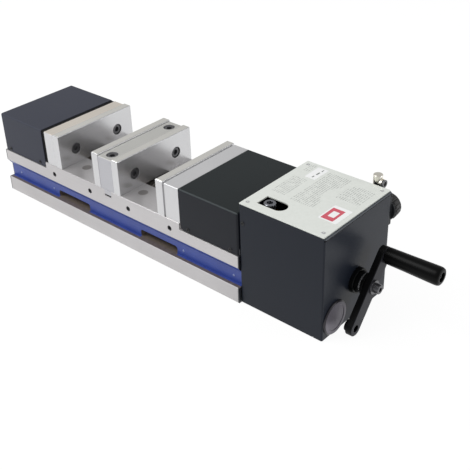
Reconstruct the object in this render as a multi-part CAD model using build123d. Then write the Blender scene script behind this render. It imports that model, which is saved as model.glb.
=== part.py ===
from build123d import *
import math
import os

# Double-station machine vise with a pneumatic drive box and a hand crank.
# Millimetres. X runs along the bed toward the drive box, Y across it, Z up.
# The origin is the middle of the bed's underside, below the fixed centre jaw.
# Mirrored pieces are made once, for the +X or +Y side, and mirrored.

# Clearances: run_fit is radial or sideways in a sliding fit, face_gap lies between turning faces
run_fit = 0.05
face_gap = 0.1
edge_break = 0.8

# A cut runs this far past the face that it opens
overcut = 1.0

# Bed: an I-section casting with a ground top, a channel along it and a cavity below its rails
bed_length = 510.0
rail_width = 150.4
bed_top = 84.8
base_spread = 1.3
base_height = 24.7
web_inset = 7.5
undercut_drop = 28.8
undercut_slope = 10.0
rail_thickness = 22.8
cavity_wall = 19.7
window_length = 75.0
window_height = 12.0
window_round = 4.0
window_centre = 95.0
side_hole_radius = 4.0
side_hole_depth = 14.0
side_hole_drop = 15.3
side_hole_places = (42.5, 127.5)
bed_plug_radius = 7.5
bed_plug_depth = 3.0
bed_plug_inset = 21.0
bed_plug_places = (-81.0, 45.5)
tenon_width = 16.0
tenon_depth = 6.0
tenon_length = 60.0
tenon_centre = 150.0
keyway_width = 14.0
keyway_depth = 10.3

# Jaw plates, all four alike, and the screws that hold them
plate_thickness = 13.2
plate_inset = 0.2
plate_height = 56.0
plate_edge = 1.2
plate_screw_y = 42.8
plate_screw_height = 24.5
screw_radius = 5.0
screw_head_extra = 3.0
screw_head_height = 7.0
screw_socket = 8.0
screw_socket_depth = 4.0
counterbore_gap = 1.0
counterbore_depth = 8.5
plate_screw_grip = 10.0

# Fixed centre jaw, held down by two cap screws over a tongue in the bed's keyway
centre_length = 29.8
centre_height = 53.2
centre_inset = 0.7
tongue_depth = 7.1
hold_down_inset = 16.6
hold_down_head_height = 10.0
hold_down_sink = 11.5
hold_down_reach = 14.0

# Moving jaws, shown fully open: the right upright is the longer and has a groove behind its plate
right_jaw_length = 29.0
left_jaw_length = 22.0
jaw_inset = 1.2
jaw_height = 54.2
groove_length = 2.6
groove_depth = 1.5
tail_inset = 10.0
tail_headroom = 7.7
tail_clear = 19.0
tail_round = 6.0
core_width = 22.0
core_height = 24.0
core_floor = 10.0
core_depth = 74.0
neck_set_back = 1.1
neck_inset = 5.0
neck_floor = 2.5
keeper_height = 10.0
keeper_side_gap = 2.0

# Spindle, its nuts and its bearings, all on one axis along X
axis_drop = 27.3
spindle_radius = 14.0
spindle_left_inset = 2.5
spindle_right_inset = 5.0
runout_depth = 2.0
runout_length = 4.0
journal_step = 4.0
nut_wall = 5.0
nut_length = 56.0
nut_flange = 4.5
nut_flange_length = 6.0
nut_bore_gap = 1.0
channel_side_gap = 1.5
steady_length = 24.0
steady_wall = 7.0
end_bearing_inset = 2.0
end_bearing_length = 12.0
end_bearing_side_gap = 2.0
end_bearing_top_gap = 0.8

# Folded sheet covers over both ends of the bed, and the rubber wipers in their mouths
sheet = 2.0
cover_length = 105.1
cover_inset = 1.0
cover_height = 54.8
cover_corner_inside = 1.0
cover_bend_inside = 0.5
skirt_drop = 9.8
skirt_corner = 6.0
mouth_gap = 0.9
rebate_lead = 2.0
rebate_depth = 10.3
wiper_gap = 0.4
wiper_inset = 1.0
wiper_depth = 3.0

# Drive box: a casting bored as the air cylinder, with a valve chamber above
box_gap = 0.6
box_length = 132.9
box_inset = 2.8
box_bottom = 1.6
box_round = 2.0
seam_from_end = 14.0
seam_size = 1.2
mount_thickness = 12.0
mount_side_wall = 10.4
mount_foot = 6.4
mount_top_gap = 5.0
cylinder_floor = 9.9
cylinder_roof = 8.5
end_wall = 26.5
chamber_height = 42.4
chamber_side_wall = 8.4
chamber_near_wall = 14.4
chamber_far_wall = 12.5
chamber_corner = 3.0
thrust_wall = 6.0
thrust_length = 10.0
bush_wall = 4.0
bush_flange = 2.0
bush_flange_length = 2.5

# Top plate and the selector that slides in its slot
top_plate_margin = 0.4
top_plate_end_margin = 1.5
top_plate_thickness = 1.8
slot_from_start = 17.8
slot_length = 39.1
slot_width = 22.1
slot_from_side = 25.0
selector_from_slot = 12.6
selector_radius = 8.0
selector_height = 13.0
selector_socket = 8.0
selector_socket_depth = 5.0
shoe_length = 24.0
shoe_width = 20.0
shoe_height = 6.0
shoe_key_width = 10.0
shoe_key_depth = 4.0
guide_past_slot = 5.5
guide_width = 32.0
guide_height = 25.0
guide_offset = 3.0

# Air piston with a hollow rod around the drive shaft
piston_from_mount = 36.0
piston_length = 20.0
rod_from_mount = 6.0
rod_wall = 10.0
seal_depth = 4.0
seal_length = 5.0

# Drive shaft, hub and crank
shaft_radius = 10.0
shoulder_gap = 0.5
spigot_radius = 7.0
spigot_length = 20.0
drive_square = 12.0
hub_wall = 4.0
hub_from_box = 17.4
hub_ring_inset = 5.9
hub_ring_length = 2.0
hub_ring_proud = 0.3
hub_groove_depth = 1.4
arm_thickness = 8.9
arm_half_width = 10.9
arm_angle = 50.6
arm_reach_grip = 43.8
arm_reach_far = 57.2
arm_far_hole = 5.0
arm_boss_radius = 7.8
arm_boss_length = 4.2
crank_bolt_radius = 5.0
crank_bolt_head_radius = 6.5
crank_bolt_head = 8.0
crank_bolt_socket = 6.0
crank_bolt_socket_depth = 4.0
crank_bolt_reach = 18.0
washer_radius = 9.5
washer_thickness = 2.0

# Turning grip on its bolt
grip_length = 76.0
grip_base_radius = 8.7
grip_waist_radius = 9.0
grip_waist_at = 0.3
grip_full_radius = 10.8
grip_rim = 1.4
grip_dome = 8.0
grip_dome_at = 0.72
grip_dome_swell = 0.5
grip_recess_depth = 7.0
grip_bolt_radius = 4.0
grip_bolt_head_radius = 5.6
grip_bolt_head_gap = 0.6
grip_bolt_head = 4.0
grip_bolt_socket = 5.0
grip_washer_radius = 6.5
grip_washer_thickness = 1.1

# Round plug low on the end face of the drive box
plug_radius = 23.8
plug_from_side = 25.4
plug_proud = 3.0
plug_bevel = 1.4
plug_dish = 0.6
plug_rim = 5.8
plug_spigot_length = 8.0

# Pressure regulator behind the drive box, with its knob
regulator_length = 36.0
regulator_height = 43.8
regulator_depth = 7.6
regulator_from_end = 2.5
regulator_boss_radius = 16.5
regulator_boss = 2.0
shelf_length = 20.0
shelf_reach = 18.6
shelf_height = 5.2
knob_drop = 33.9
knob_from_end = 14.0
knob_radius = 18.0
knob_taper = 1.0
knob_length = 14.7
knob_bevel = 1.6
knob_gap = 0.3
knob_flutes = 18
flute_radius = 1.5
stem_radius = 4.0
stem_length = 9.0

# Swivelling elbow for the air hose, on the regulator's shelf
inlet_from_start = 11.0
inlet_from_side = 10.6
inlet_stem_radius = 5.0
inlet_stem_length = 4.6
inlet_flats = 13.0
inlet_flange = 2.4
inlet_radius = 6.5
inlet_height = 19.6
inlet_top_round = 1.2
barrel_radius = 5.8
barrel_length = 8.0
barrel_drop = 11.2
tube_radius = 3.0
ring_gap = 1.0
ring_wall = 1.6
ring_length = 4.0
ring_lip_gap = 0.4
ring_lip_length = 1.6
ring_travel = 1.5

# Widths that follow from the rails
base_width = rail_width + 2 * base_spread
web_width = rail_width - 2 * web_inset
cavity_width = web_width - 2 * cavity_wall
plate_width = rail_width - 2 * plate_inset
centre_width = rail_width - 2 * centre_inset
jaw_width = rail_width - 2 * jaw_inset
cover_inner_half = jaw_width / 2 - sheet
tail_width = jaw_width - 2 * tail_inset
hold_down_y = rail_width / 2 - hold_down_inset
end_bearing_width = cavity_width - 2 * end_bearing_side_gap
box_width = rail_width - 2 * box_inset
box_side = box_width / 2
top_plate_width = box_width - 2 * top_plate_margin
chamber_width = box_width - 2 * chamber_side_wall
mount_width = box_width - 2 * mount_side_wall
slot_y = slot_from_side - box_side
plug_y = plug_from_side - box_side
inlet_y = box_side + inlet_from_side

# Radii that follow from the spindle, the shaft and the screws
nut_radius = spindle_radius + nut_wall
nut_flange_radius = nut_radius + nut_flange
channel_half = nut_flange_radius + channel_side_gap
bed_plug_y = channel_half + bed_plug_inset
journal_radius = spindle_radius - journal_step
steady_radius = spindle_radius + steady_wall
thrust_outer_radius = spindle_radius + thrust_wall
bush_radius = shaft_radius + bush_wall
hub_radius = shaft_radius + hub_wall
rod_radius = shaft_radius + rod_wall
screw_head_radius = screw_radius + screw_head_extra
counterbore_radius = screw_head_radius + counterbore_gap
grip_recess_radius = grip_bolt_head_radius + grip_bolt_head_gap
plug_spigot_radius = plug_radius - plug_rim
ring_radius = barrel_radius - ring_gap

# Levels
rail_under = bed_top - rail_thickness
undercut_high = bed_top - undercut_drop
slide_level = bed_top + run_fit
cover_top = bed_top + cover_height
cover_inner_top = cover_top - sheet
tail_top = cover_inner_top - tail_headroom
axis_height = bed_top - axis_drop
neck_bottom = axis_height - nut_radius - neck_floor
cylinder_radius = axis_height - box_bottom - cylinder_floor
chamber_floor = axis_height + cylinder_radius + cylinder_roof
box_top = chamber_floor + chamber_height
top_level = box_top + top_plate_thickness
guide_top = chamber_floor + guide_height
mount_bottom = box_bottom + mount_foot
mount_top = chamber_floor - mount_top_gap
plug_z = box_bottom + plug_radius + face_gap
knob_z = box_top - knob_drop
shelf_level = knob_z + knob_radius + face_gap + shelf_height
barrel_z = shelf_level + face_gap + inlet_flange + inlet_height - barrel_drop

# Places along X, outward from the bed's end
bed_end = bed_length / 2
cover_end = bed_end - cover_inset
cover_start = cover_end - cover_length
rebate_start = cover_start - rebate_lead
right_jaw_back = cover_start - mouth_gap
jaw_front = right_jaw_back - right_jaw_length
left_jaw_back = jaw_front + left_jaw_length
open_face = jaw_front - plate_thickness
tail_end = cover_end - tail_clear
neck = (cover_start + neck_set_back, tail_end - neck_inset)
mount_end = bed_end + mount_thickness
spindle_left = bed_end - spindle_left_inset
spindle_right = mount_end - spindle_right_inset
shaft_shoulder = mount_end + shoulder_gap
rod_start = mount_end + rod_from_mount
piston_start = mount_end + piston_from_mount
box_start = bed_end + box_gap
box_end = box_start + box_length
cylinder_end = box_end - end_wall
chamber_start = box_start + chamber_near_wall
chamber_end = box_end - chamber_far_wall
slot_start = box_start + slot_from_start
slot_end = slot_start + slot_length
selector_x = slot_start + selector_from_slot
hub_end = box_end + hub_from_box
hub_ring_start = hub_end - hub_ring_inset
arm_front = hub_end + arm_thickness
grip_start = arm_front + grip_washer_thickness + face_gap
knob_x = box_end - knob_from_end
regulator_end = box_end - regulator_from_end
regulator_start = regulator_end - regulator_length
inlet_x = regulator_start + inlet_from_start

# The crank arm's direction, and the grip's axis on it
arm_along_y = math.cos(math.radians(arm_angle))
arm_along_z = math.sin(math.radians(arm_angle))
grip_y = arm_reach_grip * arm_along_y
grip_z = axis_height + arm_reach_grip * arm_along_z


def block(x, y, z):
    """A box from its low and high limits along each axis."""
    limits = (x, y, z)
    middle = [(low + high) / 2 for low, high in limits]
    return Pos(*middle) * Box(*[high - low for low, high in limits])


def slab(x, half_width, z):
    """A box that is centred across the bed."""
    return block(x, (-half_width, half_width), z)


def rod_x(x, radius, y=0.0, z=axis_height):
    """A cylinder along X between two limits."""
    place = Plane(origin=(x[0], y, z), z_dir=(1, 0, 0))
    return extrude(place * Circle(radius), x[1] - x[0])


def rod_y(y, radius, x, z):
    """A cylinder along Y between two limits."""
    place = Plane(origin=(x, y[0], z), z_dir=(0, 1, 0))
    return extrude(place * Circle(radius), y[1] - y[0])


def rod_z(z, radius, x, y):
    """A cylinder along Z between two limits."""
    return extrude(Pos(x, y, z[0]) * Circle(radius), z[1] - z[0])


def turned(points, y=0.0, z=axis_height):
    """A turned piece about an axis along X, from (x, radius) points."""
    return Pos(0, y, z) * revolve(make_face(Polyline(*points, close=True)), Axis.X)


def along_x(points, x):
    """A section of (y, z) points drawn out between two limits along X."""
    place = Plane(origin=(x[0], 0, 0), x_dir=(0, 1, 0), z_dir=(1, 0, 0))
    return extrude(place * make_face(Polyline(*points, close=True)), x[1] - x[0])


def long_edges(solid, axis=Axis.X):
    """The straight edges of a solid along one axis."""
    return solid.edges().filter_by(axis)


def cap_screw(radius, head_radius, head_height, socket, socket_depth, reach):
    """A socket-head screw with its head above the XY plane and its shank below it."""
    screw = extrude(Circle(head_radius), head_height) + extrude(Circle(radius), -reach)
    key = extrude(Pos(0, 0, head_height) * RegularPolygon(socket / 2, 6, major_radius=False), -socket_depth)
    return chamfer(screw.edges().group_by(Axis.Z)[-1], edge_break) - key


def jaw_screw(head_height, reach):
    """One of the jaws' screws, which are all of one thread, head radius and socket."""
    return cap_screw(screw_radius, screw_head_radius, head_height, screw_socket, screw_socket_depth, reach)


def other_side(solid):
    """The same piece on the other half of the bed."""
    return mirror(solid, about=Plane.YZ)


def bed():
    """The casting: rails over a cavity, a base ledge, windows, the keyway and its holes."""
    flank = [
        (base_width / 2, 0),
        (base_width / 2, base_height),
        (web_width / 2, base_height),
        (web_width / 2, undercut_high - undercut_slope),
        (rail_width / 2, undercut_high),
        (rail_width / 2, bed_top),
        (channel_half, bed_top),
        (channel_half, rail_under),
        (cavity_width / 2, rail_under),
        (cavity_width / 2, base_height),
    ]
    body = along_x(flank + [(-y, z) for y, z in reversed(flank)], (-bed_end, bed_end))
    outer = [edge for edge in long_edges(body) if abs(edge.center().Y) > (web_width + edge_break) / 2]
    body = chamfer(outer, edge_break)
    keyway_half = keyway_width / 2
    body -= slab((-keyway_half, keyway_half), base_width, (bed_top - keyway_depth, bed_top + overcut))
    window = Plane.XZ * RectangleRounded(window_length, window_height, window_round)
    window = extrude(window, base_width, both=True)
    for x in (-window_centre, window_centre):
        body -= Pos(x, 0, base_height + window_height / 2) * window
        for side in (-1, 1):
            far = math.copysign(bed_length, x)
            low, high = sorted((math.copysign(rebate_start, x), far))
            inner, outer = sorted((side * cover_inner_half, side * base_width))
            body -= block((low, high), (inner, outer), (bed_top - rebate_depth, bed_top + overcut))
    hole_y = (rail_width / 2 - side_hole_depth, rail_width)
    hole = rod_y(hole_y, side_hole_radius, 0, bed_top - side_hole_drop)
    for place in side_hole_places:
        for x in (-place, place):
            body -= Pos(x, 0, 0) * hole
            body -= Pos(x, 0, 0) * mirror(hole, about=Plane.XZ)
    for x in bed_plug_places:
        for y in (-bed_plug_y, bed_plug_y):
            body -= rod_z((bed_top - bed_plug_depth, bed_top + overcut), bed_plug_radius, x, y)
    for y in (-hold_down_y, hold_down_y):
        reach = bed_top - keyway_depth - hold_down_reach
        body -= rod_z((reach, bed_top), screw_radius, 0, y)
    tenon = SlotOverall(tenon_length, tenon_width)
    for x in (-tenon_centre, tenon_centre):
        body -= extrude(Pos(x, 0, 0) * tenon, tenon_depth)
    return body


def cover():
    """A folded cover: top, two skirts beside the rails and a closed outer end."""

    def folded(start, end, half, low, high, corner, bend):
        solid = slab((start, end), half, (low, high))
        solid = fillet(long_edges(solid, Axis.Z).group_by(Axis.X)[-1], corner)
        rim = solid.edges().group_by(Axis.Z)[-1]
        return fillet([edge for edge in rim if edge.center().X > start + sheet / 2], bend)

    low = bed_top - skirt_drop
    shell = folded(
        cover_start, cover_end, jaw_width / 2, low, cover_top,
        cover_corner_inside + sheet, cover_bend_inside + sheet,
    )
    shell -= folded(
        cover_start - sheet, cover_end - sheet, cover_inner_half, low - sheet, cover_inner_top,
        cover_corner_inside, cover_bend_inside,
    )
    shell -= slab((cover_start - sheet, cover_end + sheet), cover_inner_half, (low - sheet, bed_top))
    side = Rectangle(cover_length, cover_top - low)
    side = fillet(side.vertices().group_by(Axis.Y)[0].sort_by(Axis.X)[0], skirt_corner)
    middle = ((cover_start + cover_end) / 2, 0, (cover_top + low) / 2)
    place = Plane(origin=middle, x_dir=(1, 0, 0), z_dir=(0, -1, 0))
    return shell & extrude(place * side, jaw_width, both=True)


def tail_shape(x, grow):
    """The arched section behind a moving jaw, grown all round by a clearance."""
    solid = slab(x, tail_width / 2 + grow, (slide_level, tail_top + grow))
    return fillet(long_edges(solid).group_by(Axis.Z)[-1], tail_round)


def wiper(jaw_back):
    """The rubber lip that fills the gap between a moving jaw and the mouth of its cover."""
    lip_start = jaw_back + wiper_gap
    lip = slab((lip_start, cover_start), jaw_width / 2 - wiper_inset, (bed_top, cover_top - wiper_inset))
    lip = fillet(long_edges(lip).group_by(Axis.Z)[-1], wiper_inset)
    inner = slab((cover_start, cover_start + wiper_depth), cover_inner_half, (bed_top, cover_inner_top))
    inner = fillet(long_edges(inner).group_by(Axis.Z)[-1], cover_bend_inside)
    reach = (lip_start - sheet, cover_start + wiper_depth + sheet)
    passage = tail_shape(reach, face_gap)
    passage += slab(reach, tail_width / 2 + face_gap, (bed_top - sheet, slide_level))
    return lip + inner - passage


def moving_jaw_body(jaw_back):
    """A moving jaw: the upright behind its plate, a cored tail and the neck that holds the nut."""
    top = bed_top + jaw_height
    body = slab((jaw_front, jaw_back), jaw_width / 2, (slide_level, top))
    body = chamfer(body.edges().filter_by(Axis.X).group_by(Axis.Z)[-1], edge_break)
    body += tail_shape((jaw_back, tail_end), 0)
    core_low = slide_level + core_floor
    core_inner = channel_half + core_floor
    core = block(
        (tail_end - core_depth, tail_end + overcut), (core_inner, core_inner + core_width),
        (core_low, core_low + core_height),
    )
    core = fillet(long_edges(core), tail_round / 2)
    body -= core
    body -= mirror(core, about=Plane.XZ)
    body += slab(neck, channel_half - run_fit, (neck_bottom, slide_level))
    body -= rod_x((neck[0], neck[0] + nut_length), nut_radius)
    body -= rod_x(neck, spindle_radius + nut_bore_gap)
    for y in (-plate_screw_y, plate_screw_y):
        hole = (jaw_front, jaw_front + counterbore_depth + plate_screw_grip)
        body -= rod_x(hole, screw_radius, y, bed_top + plate_screw_height)
    return body


def grooved(body):
    """A jaw with a groove over its top and down its sides, just behind the plate."""
    groove = (jaw_front, jaw_front + groove_length)
    top = bed_top + jaw_height
    inner = slab(groove, jaw_width / 2 - groove_depth, (slide_level, top - groove_depth))
    return body - (slab(groove, jaw_width, (slide_level, top + overcut)) - inner)


def keeper(side):
    """A bar on the neck, under one rail, that holds a moving jaw down."""
    inner = channel_half - run_fit
    outer = cavity_width / 2 - keeper_side_gap
    low, high = sorted((side * inner, side * outer))
    top = rail_under - run_fit
    bar = block(neck, (low, high), (top - keeper_height, top))
    return chamfer(long_edges(bar), edge_break)


def nut():
    """The bronze nut of a moving jaw, with its flange on the neck's inner face."""
    bore = spindle_radius + run_fit
    seat = neck[0]
    start = seat - nut_flange_length
    end = seat + nut_length
    return turned([
        (start, bore),
        (start, nut_flange_radius),
        (seat, nut_flange_radius),
        (seat, nut_radius),
        (end, nut_radius),
        (end, bore),
    ])


def jaw_plate(face, low):
    """A hard plate whose work face looks toward -X, with two counterbored holes."""
    plate = slab((face, face + plate_thickness), plate_width / 2, (low, bed_top + plate_height))
    plate = chamfer(plate.edges().group_by(Axis.Z)[-1], plate_edge)
    for y in (-plate_screw_y, plate_screw_y):
        height = bed_top + plate_screw_height
        plate -= rod_x((face, face + counterbore_depth), counterbore_radius, y, height)
        plate -= rod_x((face, face + plate_thickness), screw_radius, y, height)
    return plate


def plate_screw(face, y):
    """A screw of a plate whose work face looks toward -X."""
    reach = plate_thickness - counterbore_depth + plate_screw_grip
    screw = jaw_screw(screw_head_height, reach)
    seat = face + counterbore_depth
    return Plane(origin=(seat, y, bed_top + plate_screw_height), z_dir=(-1, 0, 0)) * screw


def centre_jaw_body():
    """The fixed jaw: a body between two plates, with a tongue in the bed's keyway."""
    half = centre_length / 2
    top = bed_top + centre_height
    body = slab((-half, half), centre_width / 2, (bed_top, top))
    body = chamfer(body.edges().group_by(Axis.Z)[-1], edge_break)
    tongue_half = keyway_width / 2
    body += slab((-tongue_half, tongue_half), rail_width / 2, (bed_top - tongue_depth, bed_top))
    for y in (-hold_down_y, hold_down_y):
        body -= rod_z((top - hold_down_sink, top + overcut), counterbore_radius, 0, y)
        body -= rod_z((bed_top - keyway_depth, top), screw_radius, 0, y)
    for side in (-1, 1):
        for y in (-plate_screw_y, plate_screw_y):
            inner = half - plate_screw_grip
            low, high = sorted((side * inner, side * half))
            body -= rod_x((low, high), screw_radius, y, bed_top + plate_screw_height)
    return body


def hold_down_screw(y):
    """A cap screw that holds the centre jaw down to the bed."""
    seat = bed_top + centre_height - hold_down_sink
    reach = seat - (bed_top - keyway_depth - hold_down_reach)
    return Pos(0, y, seat) * jaw_screw(hold_down_head_height, reach)


def spindle():
    """The spindle, right-handed on one half and left-handed on the other."""
    shoulder = bed_end - end_bearing_inset - end_bearing_length - face_gap
    runout_radius = spindle_radius - runout_depth
    relief = steady_length / 2 + runout_length
    socket_end = spindle_right - spigot_length
    return turned([
        (-spindle_left, 0),
        (-spindle_left, journal_radius),
        (-shoulder, journal_radius),
        (-shoulder, spindle_radius),
        (-relief - runout_length, spindle_radius),
        (-relief - runout_length, runout_radius),
        (-relief, runout_radius),
        (-relief, spindle_radius),
        (relief, spindle_radius),
        (relief, runout_radius),
        (relief + runout_length, runout_radius),
        (relief + runout_length, spindle_radius),
        (spindle_right, spindle_radius),
        (spindle_right, spigot_radius),
        (socket_end, spigot_radius),
        (socket_end, 0),
    ])


def steady_block():
    """The block under the centre jaw that steadies the spindle."""
    half = steady_length / 2
    block_top = bed_top - tongue_depth
    body = slab((-half, half), channel_half, (rail_under, block_top))
    lower = rod_x((-half, half), steady_radius) + slab((-half, half), steady_radius, (axis_height, block_top))
    body += lower & slab((-half, half), steady_radius, (axis_height - steady_radius, rail_under))
    return body - rod_x((-half, half), spindle_radius + run_fit)


def end_bearing():
    """The T-shaped block that carries the spindle's outer end under the left cover."""
    start = end_bearing_inset - bed_end
    x = (start, start + end_bearing_length)
    half = end_bearing_width / 2
    flank = [
        (half, neck_bottom),
        (half, rail_under),
        (channel_half, rail_under),
        (channel_half, bed_top - end_bearing_top_gap),
    ]
    body = along_x(flank + [(-y, z) for y, z in reversed(flank)], x)
    return body - rod_x(x, journal_radius + run_fit)


def mounting_plate():
    """The plate on the bed's end that the drive box sits over, bored for the thrust bearing."""
    x = (bed_end, mount_end)
    return slab(x, mount_width / 2, (mount_bottom, mount_top)) - rod_x(x, thrust_outer_radius)


def thrust_bearing():
    """The ring in the mounting plate that takes the spindle's pull."""
    x = (mount_end - thrust_length, mount_end)
    return rod_x(x, thrust_outer_radius) - rod_x(x, spindle_radius + run_fit)


def drive_housing():
    """The painted casting: air cylinder below, valve chamber above, open toward the bed."""
    body = slab((box_start, box_end), box_side, (box_bottom, box_top))
    body = fillet(long_edges(body, Axis.Z), box_round)
    body -= slab((box_start - overcut, mount_end), mount_width / 2, (mount_bottom, mount_top))
    body -= rod_x((mount_end, cylinder_end), cylinder_radius)
    body -= rod_x((cylinder_end, box_end), bush_radius)
    chamber = slab((chamber_start, chamber_end), chamber_width / 2, (chamber_floor, box_top + overcut))
    body -= fillet(long_edges(chamber, Axis.Z), chamber_corner)
    body -= rod_x((box_end - plug_spigot_length, box_end), plug_spigot_radius, plug_y, plug_z)
    seam = box_end - seam_from_end
    notch = (seam - seam_size / 2, seam + seam_size / 2)
    depth = (box_bottom - overcut, box_bottom + seam_size)
    return body - (slab(notch, box_width, depth) - slab(notch, box_side - seam_size, depth))


def top_plate():
    """The light sheet on the drive box, with a slot square at one end and round at the other."""
    sheet_z = (box_top, top_level)
    x = (box_start + top_plate_margin, box_end - top_plate_end_margin)
    plate = slab(x, top_plate_width / 2, sheet_z)
    radius = slot_width / 2
    round_x = slot_end - radius
    plate -= block((slot_start, round_x), (slot_y - radius, slot_y + radius), sheet_z)
    return plate - rod_z(sheet_z, radius, round_x, slot_y)


def selector_guide():
    """The block in the valve chamber that the selector's shoe slides on."""
    half = guide_width / 2
    middle = slot_y + guide_offset
    x = (chamber_start, slot_end + guide_past_slot)
    body = block(x, (middle - half, middle + half), (chamber_floor, guide_top))
    key = shoe_key_width / 2 + run_fit
    return body - block(x, (slot_y - key, slot_y + key), (guide_top - shoe_key_depth - face_gap, guide_top))


def selector_shoe():
    """The brass shoe under the selector, keyed into the guide's groove."""
    low = guide_top + run_fit
    half = shoe_width / 2
    x = (selector_x - shoe_length / 2, selector_x + shoe_length / 2)
    shoe = block(x, (slot_y - half, slot_y + half), (low, low + shoe_height))
    key = shoe_key_width / 2
    return shoe + block(x, (slot_y - key, slot_y + key), (low - shoe_key_depth, low))


def selector_knob():
    """The round socket-head knob that stands on the shoe."""
    low = guide_top + run_fit + shoe_height
    knob = extrude(Circle(selector_radius), selector_height)
    knob = chamfer(knob.edges().group_by(Axis.Z)[-1], edge_break)
    key = Pos(0, 0, selector_height) * RegularPolygon(selector_socket / 2, 6, major_radius=False)
    knob -= extrude(key, -selector_socket_depth)
    return Pos(selector_x, slot_y, low) * knob


def air_piston():
    """The piston and its hollow rod, with a groove for the seal."""
    outer = cylinder_radius - run_fit
    bore = shaft_radius + run_fit
    piston_end = piston_start + piston_length
    groove = piston_start + (piston_length - seal_length) / 2
    return turned([
        (rod_start, bore),
        (rod_start, rod_radius),
        (piston_start, rod_radius),
        (piston_start, outer),
        (groove, outer),
        (groove, outer - seal_depth),
        (groove + seal_length, outer - seal_depth),
        (groove + seal_length, outer),
        (piston_end, outer),
        (piston_end, bore),
    ])


def piston_seal():
    """The rubber ring in the piston's groove."""
    outer = cylinder_radius - run_fit
    groove = piston_start + (piston_length - seal_length) / 2
    x = (groove, groove + seal_length)
    return rod_x(x, outer) - rod_x(x, outer - seal_depth)


def drive_shaft():
    """The shaft from the spindle's end through the piston to the crank, squared at its tip."""
    spigot_start = spindle_right - spigot_length
    shaft = turned([
        (spigot_start, 0),
        (spigot_start, spigot_radius),
        (spindle_right, spigot_radius),
        (spindle_right, spindle_radius),
        (shaft_shoulder, spindle_radius),
        (shaft_shoulder, shaft_radius),
        (hub_end, shaft_radius),
        (hub_end, 0),
    ])
    shaft += square_tip(hub_end, arm_front)
    return shaft - rod_x((hub_end - crank_bolt_reach, arm_front), crank_bolt_radius)


def square_tip(start, end):
    """The drive square on the shaft's axis, turned with the crank arm."""
    place = Plane(origin=(start, 0, axis_height), x_dir=(0, arm_along_y, arm_along_z), z_dir=(1, 0, 0))
    return extrude(place * Rectangle(drive_square, drive_square), end - start)


def shaft_bush():
    """The flanged bush in the end wall that the drive shaft turns in."""
    bore = shaft_radius + run_fit
    flange_end = box_end + bush_flange_length
    flange_radius = bush_radius + bush_flange
    return turned([
        (cylinder_end, bore),
        (cylinder_end, bush_radius),
        (box_end, bush_radius),
        (box_end, flange_radius),
        (flange_end - edge_break, flange_radius),
        (flange_end, flange_radius - edge_break),
        (flange_end, bore),
    ])


def crank_hub():
    """The collar on the drive shaft between the bush and the crank arm."""
    start = box_end + bush_flange_length + face_gap
    groove = hub_radius - hub_groove_depth
    ring_end = hub_ring_start + hub_ring_length
    return turned([
        (start, shaft_radius),
        (start, hub_radius),
        (hub_ring_start, hub_radius),
        (hub_ring_start, groove),
        (ring_end, groove),
        (ring_end, hub_radius),
        (hub_end, hub_radius),
        (hub_end, shaft_radius),
    ])


def hub_ring():
    """The bright ring in the hub's groove."""
    x = (hub_ring_start, hub_ring_start + hub_ring_length)
    return rod_x(x, hub_radius + hub_ring_proud) - rod_x(x, hub_radius - hub_groove_depth)


def crank_arm():
    """The flat arm: the grip at its short end, a spare hole and a rear boss at its long end."""
    middle = (arm_reach_grip - arm_reach_far) / 2
    along = (0, arm_along_y, arm_along_z)
    place = Plane(origin=(hub_end, 0, axis_height), x_dir=along, z_dir=(1, 0, 0))
    outline = Pos(middle, 0) * SlotCenterToCenter(arm_reach_grip + arm_reach_far, 2 * arm_half_width)
    arm = extrude(place * outline, arm_thickness)
    arm = chamfer(arm.edges().group_by(Axis.X)[-1], edge_break)
    far = place * Pos(-arm_reach_far, 0)
    arm += extrude(far * Circle(arm_boss_radius), -arm_boss_length)
    arm -= extrude(far * Circle(arm_far_hole), arm_thickness + arm_boss_length, both=True)
    arm -= extrude(place * Pos(arm_reach_grip, 0) * Circle(grip_bolt_radius), arm_thickness)
    return arm - square_tip(hub_end, arm_front)


def crank_washer():
    """The washer under the crank bolt's head."""
    x = (arm_front, arm_front + washer_thickness)
    return rod_x(x, washer_radius) - rod_x(x, crank_bolt_radius)


def crank_bolt():
    """The cap screw that holds the arm on the drive shaft."""
    seat = arm_front + washer_thickness
    reach = seat - hub_end + crank_bolt_reach
    screw = cap_screw(
        crank_bolt_radius, crank_bolt_head_radius, crank_bolt_head,
        crank_bolt_socket, crank_bolt_socket_depth, reach,
    )
    return Plane(origin=(seat, 0, axis_height), z_dir=(1, 0, 0)) * screw


def grip():
    """The turning grip: slim at the arm, full near its domed end, which is recessed for the bolt."""
    end = grip_start + grip_length
    full = end - grip_dome
    bore = grip_bolt_radius + run_fit
    seat = end - grip_recess_depth
    end_radius = grip_recess_radius + grip_rim
    flank = Spline(
        (grip_start, grip_base_radius),
        (grip_start + grip_length * grip_waist_at, grip_waist_radius),
        (full, grip_full_radius),
        tangents=[(1, -0.02), (1, 0)],
    )
    dome = ThreePointArc(
        (full, grip_full_radius),
        (full + grip_dome * grip_dome_at, (grip_full_radius + end_radius) / 2 + grip_dome_swell),
        (end, end_radius),
    )
    inside = Polyline(
        (end, end_radius),
        (end, grip_recess_radius),
        (seat, grip_recess_radius),
        (seat, bore),
        (grip_start, bore),
        (grip_start, grip_base_radius),
    )
    return Pos(0, grip_y, grip_z) * revolve(make_face([flank, dome, inside]), Axis.X)


def grip_bolt():
    """The bolt through the grip into the arm."""
    seat = grip_start + grip_length - grip_recess_depth + face_gap
    bolt = cap_screw(
        grip_bolt_radius, grip_bolt_head_radius, grip_bolt_head, grip_bolt_socket, grip_bolt_head / 2,
        seat - hub_end,
    )
    return Plane(origin=(seat, grip_y, grip_z), z_dir=(1, 0, 0)) * bolt


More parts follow.
